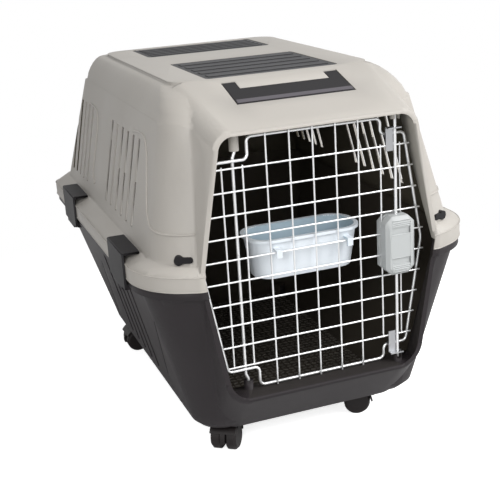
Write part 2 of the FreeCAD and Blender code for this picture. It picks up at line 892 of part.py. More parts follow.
def latch_block(front_y, back_y, grow, bevel):
    """Eight-sided block on the latch's middle."""
    half = latch_width / 2 + grow
    tall = latch_height / 2 + grow
    corners = [(-half, tall - bevel), (-half + bevel, tall), (half - bevel, tall), (half, tall - bevel),
               (half, -tall + bevel), (half - bevel, -tall), (-half + bevel, -tall), (-half, -tall + bevel)]
    wire = sharp_wire([door_point(latch_x + x, back_y, rise) for x, rise in corners])
    return prism(wire, V(0, front_y - back_y, 0))


def build_latch():
    """Latch case halves, squeeze grips with their rods, springs, guides and screws."""
    case_back_y = door_y - 2 * mesh_radius
    case_front_y = case_back_y - latch_front_depth
    rod_y = latch_rod_y()
    front = latch_block(case_front_y, case_back_y, 0, latch_bevel)
    face_edges = [e for e in front.Edges if abs(e.CenterOfMass.y - case_front_y) < run_gap]
    front = front.makeChamfer(latch_face_bevel, face_edges)
    hollow = latch_block(case_front_y + latch_wall, case_back_y + cut_over, -latch_wall, latch_bevel)
    hollow_edges = [e for e in hollow.Edges if abs(e.CenterOfMass.y - case_front_y - latch_wall) < run_gap]
    hollow = hollow.makeChamfer(latch_face_bevel, hollow_edges)
    front = front.cut(hollow)
    window_top = latch_height / 2 - window_margin
    for side in (1, -1):
        low, high = sorted([side * window_top, side * (window_top - window_height)])
        front = front.cut(box(door_point(latch_x - window_width / 2, case_front_y - cut_over, low),
                              door_point(latch_x + window_width / 2, rod_y - rod_radius, high)))
        hole = rod_radius + run_gap
        low, high = sorted([side * (window_top - wall), side * (latch_height / 2 + wall)])
        front = front.cut(bar(door_point(latch_x, rod_y, low), door_point(latch_x, rod_y, high), hole))
        front = front.cut(box(door_point(latch_x - hole, rod_y, low),
                              door_point(latch_x + hole, case_back_y + wall, high)))
    plate_y = door_y + 2 * mesh_radius
    plate = latch_block(plate_y, plate_y + latch_back_depth, 0, latch_bevel)
    mid_wall = box(door_point(latch_x - window_width / 2, case_front_y + latch_wall / 2, -latch_wall / 2),
                   door_point(latch_x + window_width / 2, case_back_y - run_gap, latch_wall / 2))
    front = front.fuse(mid_wall)
    screws = []
    for side in (1, -1):
        for across in (1, -1):
            x = latch_x + across * (latch_width / 2 - screw_inset)
            rise = side * (latch_bevel / 2)
            post = bar(door_point(x, case_back_y, rise), door_point(x, case_front_y + latch_wall / 2, rise),
                       screw_radius + latch_wall)
            tip = door_point(x, case_front_y + latch_face_bevel, rise)
            seat = door_point(x, plate_y + latch_back_depth, rise)
            shank = bar(tip, seat, screw_radius)
            front = front.fuse(post).cut(shank)
            plate = plate.cut(shank)
            head = bar(seat, seat + V(0, screw_head_height, 0), screw_head_radius)
            screws.append(shank.fuse(head))
    parts["latch_case_front"] = front.removeSplitter()
    parts["latch_case_back"] = plate
    parts["latch_screws"] = Part.makeCompound(screws)
    for name, side, reach in (("upper", 1, rod_free_top), ("lower", -1, rod_free_foot)):
        far = side * (window_top - run_gap)
        near = side * (window_top - run_gap - grip_height)
        low, high = sorted([near, far])
        half = window_width / 2 - run_gap
        back = rod_y + rod_radius - run_gap / 2
        grip = box(door_point(latch_x - half, case_front_y + latch_wall / 2, low),
                   door_point(latch_x + half, back, high))
        ribs = []
        for i in range(grip_ribs):
            level = low + (i + 1) * grip_height / (grip_ribs + 1)
            ribs.append(bar(door_point(latch_x - half, case_front_y + latch_wall / 2, level),
                            door_point(latch_x + half, case_front_y + latch_wall / 2, level), grip_rib_rise))
        skirt_front = case_front_y + latch_wall + run_gap
        skirt_edge = side * (window_top - window_height - run_gap)
        skirt_low, skirt_high = sorted([near, skirt_edge])
        skirt = box(door_point(latch_x - half, skirt_front, skirt_low),
                    door_point(latch_x + half, skirt_front + grip_skirt_wall, skirt_high))
        grip = joined([grip, skirt] + ribs)
        tip = door_point(latch_x, rod_y, side * (reach + keeper_bite))
        rod = bar(door_point(latch_x, rod_y, (near + far) / 2), tip, rod_radius)
        parts["latch_grip_" + name] = grip.cut(rod)
        parts["latch_rod_" + name] = rod
        parts["latch_spring_" + name] = make_spring(side * latch_wall / 2, near, case_back_y)
    build_guides(rod_y)


def make_spring(start, end, case_back_y):
    """Coil that pushes a grip away from the case's middle wall, as one unbroken wire."""
    low, high = sorted([start, end])
    room = high - low - 2 * spring_wire - run_gap
    pitch = room / spring_turns
    helix = Part.makeHelix(pitch, room, spring_radius)
    ring = Part.Wire([Part.makeCircle(spring_wire, V(spring_radius, 0, 0), V(0, 1, 0))])
    coil = Part.Solid(helix.makePipeShell([ring], True, True))
    coil_y = case_back_y - run_gap - spring_radius - spring_wire
    coil.translate(door_point(latch_x, coil_y, (low + high - room) / 2))
    return coil


def build_guides(rod_y):
    """Bent metal plates on the door's wires, each with an eye that steers a latch rod."""
    plate_back = door_y - 2 * mesh_radius
    frame_y = door_y + 2 * mesh_radius + frame_radius
    right = latch_x - rod_radius - run_gap
    left = right - guide_width
    for name, side in (("upper", 1), ("lower", -1)):
        inner = side * guide_inner_level
        outer = side * guide_outer_level
        hook = side * (jog_level - frame_radius)
        spans = [(left, right, plate_back - guide_wall, plate_back, inner, outer),
                 (left, right, plate_back - guide_wall, frame_y, hook - side * guide_wall, hook),
                 (left, latch_x + guide_eye_width, plate_back - guide_eye_depth, plate_back,
                  outer, outer + side * guide_wall)]
        plates = []
        for x_low, x_high, y_low, y_high, one, other in spans:
            low, high = sorted([one, other])
            plates.append(box(door_point(x_low, y_low, low), door_point(x_high, y_high, high)))
        guide = joined(plates)
        eye = rod_radius + pin_gap
        guide = guide.cut(bar(door_point(latch_x, rod_y, outer - side * wall),
                              door_point(latch_x, rod_y, outer + side * 2 * wall), eye))
        parts["rod_guide_" + name] = guide


def bowl_ring(z, shrink, radius):
    """Rounded outline of the feeding bowl at a height."""
    back_y = door_y + 2 * mesh_radius + run_gap
    half = bowl_width / 2 - shrink
    near = back_y + bowl_lip
    low, high = near + shrink, near + bowl_depth - shrink
    corners = [V(bowl_x - half, low, z), V(bowl_x + half, low, z),
               V(bowl_x + half, high, z), V(bowl_x - half, high, z)]
    return rounded_wire(corners, [radius] * 4)


def build_bowl():
    """Feeding bowl that hangs on a cross wire inside the door by two hooks."""
    row_rise = (wire_rows - 1 - bowl_row - (wire_rows - 1) / 2) * wire_pitch_z
    hang_z = door_z + row_rise
    top_z = hang_z + bowl_rise
    foot_z = top_z - bowl_height
    body = loft([bowl_ring(foot_z, bowl_foot_taper, bowl_corner_radius - bowl_foot_taper / 2),
                 bowl_ring(top_z, 0, bowl_corner_radius)])
    lip_ring = prism(bowl_ring(top_z - bowl_lip_height, -bowl_lip, bowl_corner_radius + bowl_lip),
                     V(0, 0, bowl_lip_height))
    hollow = loft([bowl_ring(foot_z + bowl_floor, bowl_foot_taper + bowl_wall,
                             bowl_corner_radius - bowl_foot_taper / 2 - bowl_wall),
                   bowl_ring(top_z + bowl_lip_height, bowl_wall, bowl_corner_radius - bowl_wall)])
    bowl = body.fuse(lip_ring).cut(hollow)
    wire_y = door_y - mesh_radius
    wire_top = hang_z + mesh_radius + run_gap
    front = wire_y - mesh_radius - run_gap
    for side in (1, -1):
        x = hook_middle + side * hook_half
        half = hook_width / 2
        hook_top = wire_top + hook_wall
        arm = box(V(x - half, front - hook_wall, wire_top), V(x + half, door_y + 3 * bowl_lip, hook_top))
        tip = box(V(x - half, front - hook_wall, hang_z - hook_drop), V(x + half, front, hook_top))
        bowl = bowl.fuse(arm.cut(hollow)).fuse(tip)
    parts["feeding_bowl"] = bowl.removeSplitter()


def make_clip(y):
    """A right-hand side clip that hooks over the belt, and its pin."""
    half_width = belt_width / 2
    pin = clip_pin_point(1, y)
    inner = half_width + run_gap
    outer = inner + clip_wall
    top = belt_top_z + run_gap
    hook = half_width - clip_hook_depth
    outline = [V(inner, y, pin.z), V(outer, y, pin.z), V(outer, y, top + clip_wall / 2),
               V(outer - clip_wall / 2, y, top + clip_wall), V(hook, y, top + clip_wall),
               V(hook, y, top), V(inner, y, top)]
    plate = prism(sharp_wire(outline), V(0, clip_length, 0))
    plate.translate(V(0, -clip_length / 2, 0))
    barrel_half = clip_length * clip_barrel_share / 2
    foot = pin.z - clip_barrel_radius
    barrel = Part.makeCylinder(clip_barrel_radius, 2 * barrel_half, pin - V(0, barrel_half, 0), V(0, 1, 0))
    web = box(V(pin.x, y - barrel_half, foot), V(outer, y + barrel_half, pin.z + clip_barrel_radius))
    keep = box(V(0, y - clip_length, foot), V(outer, y + clip_length, top + 2 * clip_wall))
    clip = joined([plate, barrel, web]).common(keep)
    ear_room = clip_barrel_radius + run_gap
    ear_length = clip_length / 2 - barrel_half + wall
    for low in (y - clip_length / 2 - wall, y + barrel_half):
        clip = clip.cut(Part.makeCylinder(ear_room, ear_length, V(pin.x, low, pin.z), V(0, 1, 0)))
    reach = V(0, barrel_half + run_gap + clip_lug_wall, 0)
    clip = clip.cut(bar(pin - reach, pin + reach, clip_pin_radius + pin_gap)).removeSplitter()
    return clip, bar(pin - reach, pin + reach, clip_pin_radius)


def build_clips():
    """Four side clips with their pins."""
    pins = []
    for name, (side, y) in clip_places().items():
        clip, pin = make_clip(y)
        parts["side_clip_" + name] = clip if side > 0 else mirrored(clip)
        pins.append(pin if side > 0 else mirrored(pin))
    parts["clip_pins"] = Part.makeCompound(pins)


def make_wheel():
    """One wheel of a castor, turning about X, with its web side at the origin and a blind bore."""
    rim = wheel_radius
    bore = axle_radius + pin_gap
    deep = wheel_width - wheel_edge + run_gap
    tread = [V(0, 0, bore), V(0, 0, rim - wheel_edge / 2), V(wheel_edge / 2, 0, rim),
             V(wheel_width - wheel_edge, 0, rim), V(wheel_width, 0, rim - wheel_edge),
             V(wheel_width, 0, 0), V(deep, 0, 0), V(deep, 0, bore)]
    return Part.Face(sharp_wire(tread)).revolve(V(0, 0, 0), V(1, 0, 0), 360)


def build_castors():
    """Four twin-wheel castors, each with a fork, a stem, an axle and two wheels."""
    wheel_out = web_wall / 2 + run_gap
    for name, heading in castor_headings.items():
        wheel_at = V(0, castor_trail, wheel_radius)
        right = make_wheel()
        right.translate(wheel_at + V(wheel_out, 0, 0))
        left = mirrored(right)
        reach = V(wheel_out + wheel_width - wheel_edge, 0, 0)
        axle = bar(wheel_at - reach, wheel_at + reach, axle_radius)
        fork = castor_fork(wheel_at, reach.x)
        fork = fork.cut(bar(wheel_at - reach, wheel_at + reach, axle_radius))
        pieces = {"castor_fork_": fork, "castor_axle_": axle,
                  "castor_wheel_a_": right, "castor_wheel_b_": left}
        pieces["castor_stem_"] = bar(V(0, 0, ground_gap - run_gap - collar_height),
                                     V(0, 0, ground_gap + stem_height - run_gap), stem_radius)
        for label, shape in pieces.items():
            placed = shape.copy()
            placed.rotate(V(0, 0, 0), V(0, 0, 1), heading - 90)
            placed.translate(castor_spots()[name])
            parts[label + name] = placed


def around(middle, radius, degrees):
    """Point of a circle across the axle."""
    angle = math.radians(degrees)
    return middle + V(0, radius * math.cos(angle), radius * math.sin(angle))


def castor_fork(wheel_at, half_width):
    """Web between the wheels, fender over them and collar round the stem."""
    top = ground_gap - run_gap
    inner = wheel_radius + fender_gap
    outer = inner + fender_wall
    full = 2 * (half_width + wheel_edge)
    side = wheel_at - V(full / 2, 0, 0)
    last = fender_start + fender_turn
    half = (fender_start + last) / 2
    under = [around(side, inner, angle) for angle in (fender_start, half, last)]
    over = [around(side, outer, angle) for angle in (last, half, fender_start)]
    edges = [Part.Arc(*under).toShape(), Part.LineSegment(under[-1], over[0]).toShape(),
             Part.Arc(*over).toShape(), Part.LineSegment(over[-1], under[0]).toShape()]
    fender = prism(Part.Wire(edges), V(full, 0, 0))
    web = Part.makeCylinder(inner + fender_wall / 2, web_wall, wheel_at - V(web_wall / 2, 0, 0), V(1, 0, 0))
    keep = box(V(-web_wall, -cut_over, wheel_radius - 2 * axle_radius), V(web_wall, 2 * cut_over, top))
    web = web.common(keep)
    arm = box(V(-web_wall / 2, -collar_radius, wheel_radius + axle_radius),
              V(web_wall / 2, castor_trail, top - collar_height))
    collar_tall = collar_height + wall / 2
    collar = Part.makeCylinder(collar_radius, collar_tall, V(0, 0, top - collar_tall))
    solid = joined([fender, web, arm, collar])
    tyre_at = wheel_at + V(web_wall / 2, 0, 0)
    tyres = Part.makeCylinder(wheel_radius + fender_gap / 2, full, tyre_at, V(1, 0, 0))
    solid = solid.cut([tyres, mirrored(tyres)])
    return solid.cut(bar(V(0, 0, top - collar_height), V(0, 0, ground_gap), stem_radius)).removeSplitter()


build_shells()
build_roof()
build_door_wires()
build_latch()
build_bowl()
build_clips()
build_castors()

os.makedirs("parts", exist_ok=True)
for node, shape in parts.items():
    shape.translate(V(0, -middle_y, 0))
    shape.exportStep(os.path.join("parts", node + ".step"))
    print("%-26s solids %2d valid %s volume %.1f" % (node, len(shape.Solids), shape.isValid(), shape.Volume))
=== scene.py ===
"""Looks of a large two-part pet carrier on castors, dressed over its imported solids, in metres."""
import json
import math

import bmesh
import bpy
from mathutils import Matrix, Vector


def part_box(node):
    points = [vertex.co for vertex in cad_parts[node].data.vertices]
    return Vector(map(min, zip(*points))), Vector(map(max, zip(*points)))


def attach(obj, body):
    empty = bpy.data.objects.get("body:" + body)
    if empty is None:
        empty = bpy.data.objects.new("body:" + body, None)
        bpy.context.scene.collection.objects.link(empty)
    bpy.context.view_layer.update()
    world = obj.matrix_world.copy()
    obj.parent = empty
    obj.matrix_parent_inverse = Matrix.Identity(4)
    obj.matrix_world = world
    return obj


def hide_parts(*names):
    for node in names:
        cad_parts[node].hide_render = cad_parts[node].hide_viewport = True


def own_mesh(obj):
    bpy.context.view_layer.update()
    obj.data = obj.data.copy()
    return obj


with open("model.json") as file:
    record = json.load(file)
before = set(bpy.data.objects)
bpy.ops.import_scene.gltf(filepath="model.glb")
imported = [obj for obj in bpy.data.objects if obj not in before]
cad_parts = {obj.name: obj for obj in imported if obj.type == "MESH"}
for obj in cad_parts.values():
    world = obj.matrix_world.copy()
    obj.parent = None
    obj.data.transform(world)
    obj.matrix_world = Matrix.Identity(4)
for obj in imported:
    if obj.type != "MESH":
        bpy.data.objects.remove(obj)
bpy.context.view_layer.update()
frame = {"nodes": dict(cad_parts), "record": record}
nodes = frame["nodes"]
body_of = {name: body for body, names in frame["record"]["behaviour"]["bodies"].items() for name in names}
mm = 0.001

# camera, at the photograph's angle
camera_place = (-0.630619, -1.803167, 0.898692)
camera_right = (0.933201, -0.354730, -0.057463)
camera_up = (0.164024, 0.278193, 0.946417)
camera_back = (-0.319737, -0.892623, 0.317794)
camera_lens = 72.64
camera_sensor = 36.0

# studio
floor_half = 3.0
floor_clear_from = 0.55
floor_clear_to = 1.1
floor_glow = 0.78
floor_patch = 0.8
floor_roughness = 0.9
world_strength = 0.24

# lamps: place, aim and side in metres, power in watts
lamps = {"key_lamp": ((1.5, -2.0, 2.0), (0, 0, 0.35), 1.4, 55),
         "top_lamp": ((0.5, -0.4, 3.0), (0, 0, 0.3), 2.0, 20),
         "fill_lamp": ((-0.9, -1.5, 1.0), (-0.1, 0, 0.35), 0.8, 14),
         "side_lamp": ((2.0, -1.0, 0.9), (0, 0, 0.35), 1.0, 18)}

# moulded pieces: edges up to this angle are shaded as roundings, sharper ones stay crisp
round_degrees = 42
weld_gap = 0.02 * mm

# cabin: its middle line, and how squarely a face has to turn to it to count as an inner one, which gets the
# painted shade
core_half_length = 200 * mm
core_foot_z = 200 * mm
core_top_z = 450 * mm
inner_face_share = -0.25

# cabin: where the painted shade starts to fade in from the doorway's tone and where the deep one is reached
upper_mouth_y = -385 * mm
upper_deep_y = -300 * mm
lower_mouth_y = -360 * mm
lower_deep_y = -270 * mm
cabin_roughness = 0.7
cabin_shine = 0.1

# beads: lines are thrown sideways onto the wall that carries them
bead_sides = 10
bead_step = 5 * mm
throw_from = 400 * mm
throw_reach = 220 * mm

# upper shell: the two raised beads that frame each group of vents, as (y, z) in mm on the side wall
bead_radius = 2.2 * mm
front_bead = [(-132, 554), (-172, 558), (-201, 555), (-218, 543), (-233, 519), (-260, 457), (-273, 441),
              (-291, 430), (-309, 426), (-326, 425), (-344, 426), (-359, 427), (-367, 428)]
rear_bead = [(211, 550), (163, 548), (140, 538), (129, 511), (129, 446), (124, 424), (105, 412)]

# belt of the upper shell: rounded edges of its upright face, and how they are told from other edges
belt_foot_z = 343 * mm
belt_mid_z = 367 * mm
belt_edge_radius = 1.0 * mm
belt_level_slack = 0.2 * mm
belt_upright_slack = 0.1
belt_out_reach = 50 * mm
belt_weld_gap = 0.1 * mm

# lower shell: ribs on the side wall, leaning back towards the floor
rib_count = 5
rib_pitch = 48 * mm
rib_first_y = -124 * mm
rib_middle_z = 160 * mm
rib_lean_share = -0.25
rib_top_z = 300 * mm
rib_foot_z = 100 * mm
rib_radius = 1.8 * mm

# cabin floor: raised grip dashes
dash_length = 9 * mm
dash_width = 3.2 * mm
dash_height = 1.6 * mm
dash_pitch = 11.5 * mm
dash_columns = 28
dash_rows = 44
dash_middle_y = -20 * mm
dash_turn_degrees = 25
cabin_floor_z = 58 * mm

# feeding bowl: the rim above its inside with painted shade, and the least shares of a level and of a leaning
# face
bowl_rim = 1 * mm
bowl_level_share = 0.9
bowl_lean_share = 0.5

# carry handle: the raised lip along its front edge, from its back line to the tip
handle_front = (-311.2 * mm, 613.2 * mm)
handle_slope_degrees = 17.7
lip_back = 9 * mm
lip_rise = 1.6 * mm
lip_edge = 0.4 * mm
lip_end_gap = 1.5 * mm

# latch case: the line round its thumb pad, bulging towards the hinge
pad_line_radius = 0.6 * mm
pad_bulge = 3.2 * mm
pad_steps = 12
pad_half_height = 20 * mm
pad_near_x = 126 * mm
pad_far_x = 160 * mm

# clips and latch case: rounding of their moulded edges
clip_round = 1.4 * mm
latch_round = 1.2 * mm
round_edge_least = 8 * mm
round_segments = 3
round_profile = 0.5
flat_degrees = 2

# moulded plastics and metals: the grain is coarser than the real one, so that it shows
polypropylene_ior = 1.49
nylon_ior = 1.53
abs_ior = 1.54
plastic_patch = 120 * mm
metal_patch = 25 * mm
patch_detail = 4.0
plastic_roughness_swing = 0.05
metal_roughness_swing = 0.06
grain_size = 1.2 * mm
grain_depth = 0.08 * mm
grain_detail = 2.0
grain_strength = 0.5

# a Mix node's sockets for colours, by number, because other kinds of value share their names
mix_first = 6
mix_second = 7
mix_result = 2


def colour(hex_value):
    """Linear colour of an sRGB hex value."""
    shares = [int(hex_value[i:i + 2], 16) / 255 for i in (0, 2, 4)]
    linear = [s / 12.92 if s <= 0.04045 else ((s + 0.055) / 1.055) ** 2.4 for s in shares]
    return (*linear, 1.0)


def add(tree, kind, settings=None, inputs=None):
    """Adds a node with its settings, and links or sets its inputs by name or number."""
    node = tree.nodes.new(kind)
    for key, value in (settings or {}).items():
        setattr(node, key, value)
    for key, value in (inputs or {}).items():
        if isinstance(value, bpy.types.NodeSocket):
            tree.links.new(value, node.inputs[key])
        else:
            node.inputs[key].default_value = value
    return node


def new_material(name):
    """A material with its tree, its shader and the object's own coordinates."""
    material = bpy.data.materials.new(name)
    material.use_nodes = True
    tree = material.node_tree
    place = add(tree, "ShaderNodeTexCoord").outputs["Object"]
    return material, tree, tree.nodes["Principled BSDF"], place


def blotch(tree, place, size, first, second):
    """A colour that wanders softly between two, over patches of one size, and its share of the second."""
    cloud = add(tree, "ShaderNodeTexNoise", inputs={"Vector": place, "Scale": 1 / size,
                                                    "Detail": patch_detail})
    share = cloud.outputs["Fac"]
    mix = add(tree, "ShaderNodeMix", {"data_type": "RGBA"},
              {"Factor": share, mix_first: colour(first), mix_second: colour(second)})
    return mix.outputs[mix_result], share


def patchy_face(tree, place, shader, size, tones, roughness, swing):
    """Faint patches of two tones, with a roughness that wanders along with them."""
    tone, share = blotch(tree, place, size, *tones)
    tree.links.new(tone, shader.inputs["Base Color"])
    rough = add(tree, "ShaderNodeMapRange", inputs={"Value": share, "To Min": roughness - swing,
                                                    "To Max": roughness + swing})
    tree.links.new(rough.outputs["Result"], shader.inputs["Roughness"])


def moulded_face(tree, place, shader, shine, ior):
    """What every moulded plastic has: its shine, its index of refraction and a fine grain."""
    shader.inputs["Specular IOR Level"].default_value = shine
    shader.inputs["IOR"].default_value = ior
    speck = add(tree, "ShaderNodeTexNoise", inputs={"Vector": place, "Scale": 1 / grain_size,
                                                    "Detail": grain_detail})
    bump = add(tree, "ShaderNodeBump", inputs={"Height": speck.outputs["Fac"], "Strength": grain_strength,
                                               "Distance": grain_depth})
    tree.links.new(bump.outputs["Normal"], shader.inputs["Normal"])


def moulded_plastic(name, first, second, roughness, shine=0.5, ior=polypropylene_ior):
    """Injection-moulded plastic: a satin face with a fine grain and slow, faint patches of tone."""
    material, tree, shader, place = new_material(name)
    patchy_face(tree, place, shader, plastic_patch, (first, second), roughness, plastic_roughness_swing)
    moulded_face(tree, place, shader, shine, ior)
    return material


def bare_metal(name, first, second, roughness, metal=1.0):
    """Drawn or plated metal: bright, with faint duller stretches."""
    material, tree, shader, place = new_material(name)
    patchy_face(tree, place, shader, metal_patch, (first, second), roughness, metal_roughness_swing)
    shader.inputs["Metallic"].default_value = metal
    return material


def cabin_painted_shade(name, mouth, deep, mouth_y, deep_y):
    """The cabin's inner faces with painted shade: one tone at the doorway, fading to a browner one inside.
    """
    material, tree, shader, place = new_material(name)
    axes = add(tree, "ShaderNodeSeparateXYZ", inputs={"Vector": place})
    fade = add(tree, "ShaderNodeMapRange", {"interpolation_type": "SMOOTHSTEP"},
               {"Value": axes.outputs["Y"], "From Min": mouth_y, "From Max": deep_y})
    mix = add(tree, "ShaderNodeMix", {"data_type": "RGBA"},
              {"Factor": fade.outputs["Result"], mix_first: colour(mouth), mix_second: colour(deep)})
    tree.links.new(mix.outputs[mix_result], shader.inputs["Base Color"])
    shader.inputs["Roughness"].default_value = cabin_roughness
    moulded_face(tree, place, shader, cabin_shine, polypropylene_ior)
    return material


# shells, moulded polypropylene: a satin warm grey above, a satin brown charcoal below
warm_grey = moulded_plastic("warm_grey_polypropylene", "b2aea8", "aca7a0", roughness=0.5, shine=0.4)
charcoal = moulded_plastic("charcoal_polypropylene", "292527", "242022", roughness=0.55, shine=0.22)
# roof inserts, moulded polypropylene: a flat dark grey that catches light on its ribs
insert_grey = moulded_plastic("insert_grey_polypropylene", "373739", "303032", roughness=0.55, shine=0.2)
# handle, clips and plugs, moulded polypropylene: a dull near-black
dark_trim = moulded_plastic("dark_trim_polypropylene", "1d1b1d", "171618", roughness=0.55, shine=0.18)
# handle's lip, the same plastic painted paler as a highlight, with a soft sheen
lip_painted_highlight = moulded_plastic("handle_lip_painted_highlight", "4d494f", "464248", roughness=0.4, shine=0.4)
# castors, moulded nylon: a warm black with a low sheen
castor_black = moulded_plastic("black_castor_nylon", "1d1818", "171313", roughness=0.5, shine=0.22,
                               ior=nylon_ior)
# latch, moulded ABS: a pale cool grey, shinier than the shells
pale_latch = moulded_plastic("pale_latch_abs", "babdbd", "b2b5b5", roughness=0.4, ior=abs_ior)
# bowl, moulded polypropylene: a milky blue-white outside, and painted shade in a darker blue inside
milky_bowl = moulded_plastic("milky_bowl_polypropylene", "dfe5ea", "d6dde4", roughness=0.3)
bowl_inside_shade = moulded_plastic("milky_bowl_painted_shade", "a9bcc7", "9fb2be", roughness=0.3)
# floor grip, moulded polypropylene, dull: its dashes are coloured paler than the floor
grip_plastic = moulded_plastic("floor_grip_polypropylene", "6e6963", "5f5b56", roughness=0.6, shine=0.1)
# door, drawn and zinc-plated wire: bright and a little milky
bright_wire = bare_metal("bright_zinc_wire", "f2f2f2", "e2e3e4", roughness=0.3, metal=0.7)
# small steel parts: plated ones a dull silver, blackened ones a dark sheen
plated_steel = bare_metal("plated_steel", "b9babc", "9fa0a3", roughness=0.35)
blackened_steel = bare_metal("blackened_steel", "343234", "2a292b", roughness=0.5)
# cabin, painted shade on the shells' own plastic where it faces inwards: dull, and browner towards the back,
# the upper shell's darker there and the lower's paler
upper_cabin_shade = cabin_painted_shade("upper_cabin_painted_shade", "a5a199", "575247", upper_mouth_y, upper_deep_y)
lower_cabin_shade = cabin_painted_shade("lower_cabin_painted_shade", "2e2b2a", "443f38", lower_mouth_y, lower_deep_y)


def paint(material, *names):
    """Gives CAD nodes one material."""
    for name in names:
        nodes[name].data.materials.clear()
        nodes[name].data.materials.append(material)


def paint_hollow_shade(name, material):
    """Gives the faces that look into a bowl a second material, a darker blue of painted shade."""
    mesh = nodes[name].data
    mesh.materials.append(material)
    low, high = (Vector(corner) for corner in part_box(name))
    middle = (low + high) / 2
    for face in mesh.polygons:
        flat = Vector((face.normal.x, face.normal.y, 0))
        towards = (middle - face.center) * Vector((1, 1, 0))
        on_floor = face.normal.z > bowl_level_share and face.center.z < middle.z
        on_wall = flat.length > bowl_lean_share and flat.dot(towards) > 0
        if on_floor or (on_wall and face.center.z < high.z - bowl_rim):
            face.material_index = 1


def new_piece(name, mesh):
    """A mesh as a new object at the origin."""
    piece = bpy.data.objects.new(name, mesh)
    bpy.context.scene.collection.objects.link(piece)
    return piece


def settle(piece):
    """Turns a piece's modifiers into its own mesh."""
    bpy.context.view_layer.update()
    shown = piece.evaluated_get(bpy.context.evaluated_depsgraph_get())
    mesh = bpy.data.meshes.new_from_object(shown)
    piece.modifiers.clear()
    piece.data = mesh


def open_copy(name):
    """A copy of a node's mesh, open for editing, with its loose triangles joined."""
    mesh = nodes[name].data.copy()
    work = bmesh.new()
    work.from_mesh(mesh)
    bmesh.ops.remove_doubles(work, verts=work.verts, dist=weld_gap)
    return mesh, work


def close_copy(mesh, work):
    """Puts what was edited back into its mesh."""
    work.to_mesh(mesh)
    work.free()


def stand_in(name, ending, mesh):
    """A reshaped copy in the place of its node, with its moulded roundings shaded smooth."""
    mesh.shade_smooth()
    mesh.set_sharp_from_angle(angle=math.radians(round_degrees))
    piece = new_piece(name + ending, mesh)
    even = piece.modifiers.new("even_normals", "WEIGHTED_NORMAL")
    even.keep_sharp = True
    settle(piece)
    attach(piece, body_of[name])
    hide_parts(name)
    return piece


def round_shell(name, cabin):
    """A shell with its roundings shaded smooth, and the cabin's painted shade on what faces inwards."""
    mesh, work = open_copy(name)
    close_copy(mesh, work)
    mesh.materials.append(cabin)
    for face in mesh.polygons:
        core_y = max(-core_half_length, min(core_half_length, face.center.y))
        core_z = max(core_foot_z, min(core_top_z, face.center.z))
        outwards = (face.center - Vector((0, core_y, core_z))).normalized()
        # faces turned inwards take the cabin material, which holds the painted shade
        face.material_index = 1 if face.normal.dot(outwards) < inner_face_share else 0
    return stand_in(name, "_moulded", mesh)


def soften(name, radius):
    """A moulded piece with its long outer edges rounded."""
    mesh, work = open_copy(name)
    flat = math.radians(flat_degrees)
    crisp = math.radians(round_degrees)
    bmesh.ops.dissolve_limit(work, angle_limit=flat, verts=work.verts, edges=work.edges)
    sharp = [edge for edge in work.edges if len(edge.link_faces) == 2
             and edge.calc_length() > round_edge_least and edge.calc_face_angle_signed() > crisp]
    bmesh.ops.bevel(work, geom=sharp, offset=radius, segments=round_segments, profile=round_profile,
                    affect="EDGES", clamp_overlap=True)
    bmesh.ops.triangulate(work, faces=work.faces)
    close_copy(mesh, work)
    stand_in(name, "_rounded", mesh)


def squeeze_spring(end):
    """A copy of a latch coil in the place of its node, on the same body."""
    name = "latch_spring_" + end
    piece = new_piece(name + "_coil", nodes[name].data.copy())
    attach(piece, body_of[name])
    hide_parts(name)
    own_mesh(piece)


def handle_lip():
    """The raised lip along the handle's front edge, in a paler plastic that is a painted highlight."""
    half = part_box("carry_handle")[1][0] - lip_end_gap
    lean = math.radians(handle_slope_degrees)
    along = Vector((0, math.cos(lean), math.sin(lean)))
    rise = Vector((0, -math.sin(lean), math.cos(lean)))
    front = Vector((0, *handle_front))
    outline = ((0, -lip_edge), (0, lip_edge), (lip_back, lip_rise), (lip_back + lip_rise, -lip_edge))
    section = [front + along * back + rise * height for back, height in outline]
    points = [point + Vector((x, 0, 0)) for x in (-half, half) for point in section]
    count = len(section)
    faces = [(i, (i + 1) % count, (i + 1) % count + count, i + count) for i in range(count)]
    mesh = bpy.data.meshes.new("handle_lip")
    mesh.from_pydata(points, [], faces + [tuple(range(count)), tuple(range(count, 2 * count))])
    work = bmesh.new()
    work.from_mesh(mesh)
    bmesh.ops.recalc_face_normals(work, faces=work.faces)
    close_copy(mesh, work)
    # the lip's paler colour is a painted highlight
    mesh.materials.append(lip_painted_highlight)
    piece = new_piece("handle_lip", mesh)
    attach(piece, "handle")


def new_tree(name, kinds):
    """A geometry tree with named inputs, their sockets' identifiers and what they give."""
    tree = bpy.data.node_groups.new(name, "GeometryNodeTree")
    sockets = {}
    for label, kind in kinds.items():
        socket = tree.interface.new_socket(label, in_out="INPUT", socket_type="NodeSocket" + kind)
        sockets[label] = socket.identifier
    tree.interface.new_socket("Geometry", in_out="OUTPUT", socket_type="NodeSocketGeometry")
    return tree, sockets, add(tree, "NodeGroupInput").outputs


def end_tree(tree, shape, plastic):
    """Ends a geometry tree: makes its copies real and sets their material."""
    real = add(tree, "GeometryNodeRealizeInstances", inputs={"Geometry": shape})
    dressed = add(tree, "GeometryNodeSetMaterial", inputs={"Geometry": real.outputs[0], "Material": plastic})
    add(tree, "NodeGroupOutput", inputs={"Geometry": dressed.outputs[0]})


